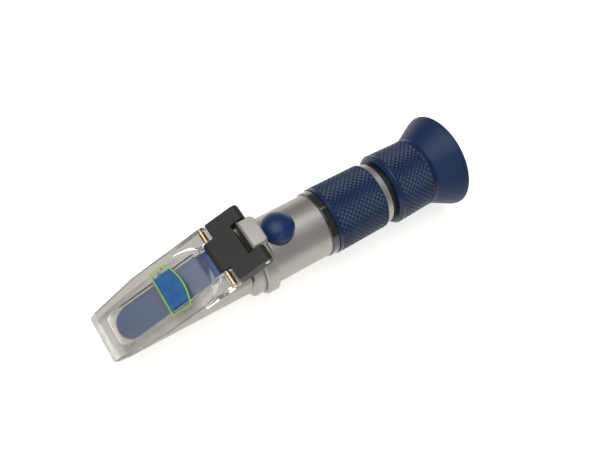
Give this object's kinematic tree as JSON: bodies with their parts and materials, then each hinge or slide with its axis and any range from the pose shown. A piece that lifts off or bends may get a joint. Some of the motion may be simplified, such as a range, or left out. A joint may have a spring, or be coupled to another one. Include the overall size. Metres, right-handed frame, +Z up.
{
  "type": "handheld refractometer",
  "caption": "Handheld optical refractometer: sloping prism under a hinged clear plate, adjusting screw under a cap, rubber grip, and a focusing eyepiece with eyecup.",
  "frame": {"origin": "under the middle of the length, on the lowest line of the eyecup's rim", "axes": "+X along the optical axis towards the eyepiece, +Z up through the hinge and the screw cap, +Y to the left of someone looking from the prism to the eyepiece"},
  "size_m": [0.16, 0.0414, 0.0437],
  "materials": {
    "housing_metal": "satin anodised",
    "prism_glass": "polished optical glass",
    "seal_black": "matte cement",
    "black_anodised": "matte black anodised",
    "pin_steel": "ground steel",
    "bracket_black": "black, satin",
    "brass": "turned brass",
    "clear_acrylic": "clear moulded acrylic",
    "cap_blue": "soft satin",
    "ring_black": "gloss black",
    "navy_rubber": "matte rubber, knurled",
    "focus_blue": "satin, knurled",
    "optical_glass": "polished",
    "bimetal": "rolled strip",
    "spring_steel": "drawn wire"
  },
  "bodies": {
    "main_body": {"prism_housing": "housing_metal", "prism": "prism_glass", "prism_seal": "seal_black", "aperture_disc": "black_anodised", "hinge_pin": "pin_steel", "main_tube": "housing_metal", "screw_bush": "brass", "grip_ring": "ring_black", "rubber_grip": "navy_rubber", "reticle_cell": "black_anodised", "reticle": "optical_glass", "reticle_ring": "black_anodised", "focus_barrel": "black_anodised"},
    "cover_bracket": {"hinge_bracket": "bracket_black", "plate_pin": "brass"},
    "cover_plate": {"daylight_plate": "clear_acrylic"},
    "lens_carriage": {"bimetal_strip": "bimetal", "strip_rivet_1": "spring_steel", "strip_rivet_2": "spring_steel", "lens_cell": "black_anodised", "objective_crown": "optical_glass", "objective_flint": "optical_glass", "objective_ring": "black_anodised", "return_spring": "spring_steel"},
    "adjusting_screw": {"calibration_screw": "brass"},
    "cap": {"screw_cap": "cap_blue"},
    "eyepiece": {"eyepiece_carrier": "black_anodised", "field_lens": "optical_glass", "lens_spacer": "black_anodised", "eye_lens": "optical_glass", "eyepiece_retainer": "black_anodised", "eyepiece_clip": "pin_steel"},
    "focusing": {"focus_ring": "focus_blue", "eyecup": "navy_rubber"}
  },
  "joints": [
    {"name": "cover_hinge", "type": "hinge", "parent": "main_body", "child": "cover_bracket", "pos_m": [-0.0173, 0, 0.04125], "axis": [0, 1, 0], "range_deg": [0, 110]},
    {"name": "plate_tilt", "type": "hinge", "parent": "cover_bracket", "child": "cover_plate", "pos_m": [-0.03102, 0, 0.03598], "axis": [0, 1, 0], "range_deg": [0, 15]},
    {"name": "lens_shift", "type": "slide", "parent": "main_body", "child": "lens_carriage", "axis": [0, 0, 1], "range_m": [-0.00025, 0.00025], "deforming": ["return_spring"]},
    {"name": "screw_turn", "type": "hinge", "parent": "lens_carriage", "child": "adjusting_screw", "pos_m": [-0.0043, 0, 0.034], "axis": [0, 0, 1], "range_deg": [-180, 180]},
    {"name": "cap_pull", "type": "slide", "parent": "main_body", "child": "cap", "axis": [0, 0, 1], "range_m": [0, 0.005]},
    {"name": "focus_travel", "type": "slide", "parent": "main_body", "child": "eyepiece", "axis": [1, 0, 0], "range_m": [-0.0015, 0.0015]},
    {"name": "focus_turn", "type": "hinge", "parent": "eyepiece", "child": "focusing", "pos_m": [0.0649, 0, 0.0207], "axis": [1, 0, 0], "range_deg": [-135, 135]}
  ],
  "couplings": [
    {"joint": "screw_turn", "follows": "lens_shift", "rad_per_m": 12564},
    {"joint": "focus_travel", "follows": "focus_turn", "m_per_rad": 0.0006362}
  ]
}
